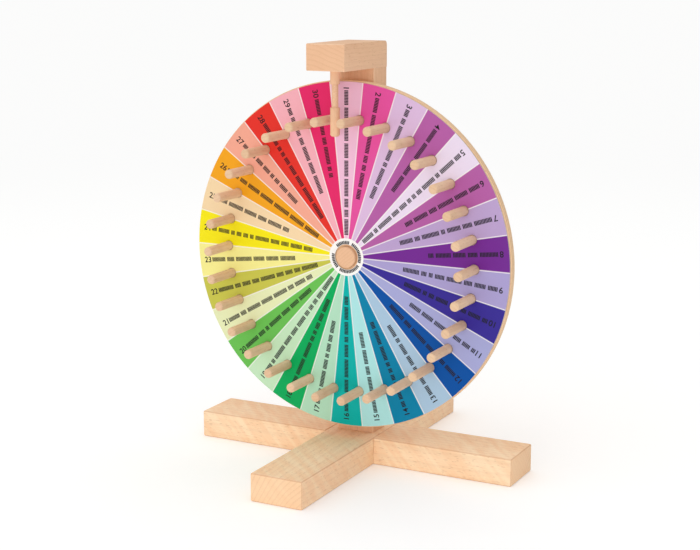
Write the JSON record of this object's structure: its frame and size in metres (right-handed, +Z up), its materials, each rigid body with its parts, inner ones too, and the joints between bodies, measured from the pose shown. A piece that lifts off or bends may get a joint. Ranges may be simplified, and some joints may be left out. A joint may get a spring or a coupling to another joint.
{
  "type": "prize wheel spinner",
  "caption": "Tabletop wooden prize wheel: upright pegged disc with a card dial turning on a post, cross base below, flexible pointer above.",
  "frame": {"origin": "middle of the base's underside, on the table", "axes": "+Z up, the dial faces -Y, +X to the right of someone facing the dial"},
  "size_m": [0.304, 0.304, 0.3645],
  "materials": {
    "beech": "bare planed beech",
    "beech_dowel": "bare turned beech dowel",
    "plywood": "bare sanded plywood",
    "printed_card": "satin print, thirty coloured sectors",
    "pointer_cord": "smooth natural round cord",
    "steel": "zinc plated"
  },
  "bodies": {
    "stand": {"base_beam_left_right": "beech", "base_beam_front_back": "beech", "post": "beech", "head_arm": "beech", "post_dowel_left": "beech_dowel", "post_dowel_right": "beech_dowel", "arm_dowel_left": "beech_dowel", "arm_dowel_right": "beech_dowel", "post_screw": "steel", "pointer_stub": "beech_dowel"},
    "wheel": {"wheel_board": "plywood", "dial_card": "printed_card", "spacer_ring": "beech", "axle_dowel": "beech_dowel", "retaining_washer": "steel", "retaining_screw": "steel", "peg_01": "beech_dowel", "peg_02": "beech_dowel", "peg_03": "beech_dowel", "peg_04": "beech_dowel", "peg_05": "beech_dowel", "peg_06": "beech_dowel", "peg_07": "beech_dowel", "peg_08": "beech_dowel", "peg_09": "beech_dowel", "peg_10": "beech_dowel", "peg_11": "beech_dowel", "peg_12": "beech_dowel", "peg_13": "beech_dowel", "peg_14": "beech_dowel", "peg_15": "beech_dowel", "peg_16": "beech_dowel", "peg_17": "beech_dowel", "peg_18": "beech_dowel", "peg_19": "beech_dowel", "peg_20": "beech_dowel", "peg_21": "beech_dowel", "peg_22": "beech_dowel", "peg_23": "beech_dowel", "peg_24": "beech_dowel", "peg_25": "beech_dowel", "peg_26": "beech_dowel", "peg_27": "beech_dowel", "peg_28": "beech_dowel", "peg_29": "beech_dowel", "peg_30": "beech_dowel"},
    "pointer": {"pointer_neck": "pointer_cord", "pointer_tip": "beech_dowel"}
  },
  "joints": [
    {"name": "wheel_spin", "type": "hinge", "parent": "stand", "child": "wheel", "pos_m": [0, 0, 0.183], "axis": [0, 1, 0], "continuous": true},
    {"name": "pointer_flick", "type": "hinge", "parent": "stand", "child": "pointer", "pos_m": [0, -0.049, 0.3215], "axis": [0, 1, 0], "range_deg": [-55, 55], "stiffness_Nm_per_rad": 0.02, "deforming": ["pointer_neck", "pointer_tip"]}
  ]
}
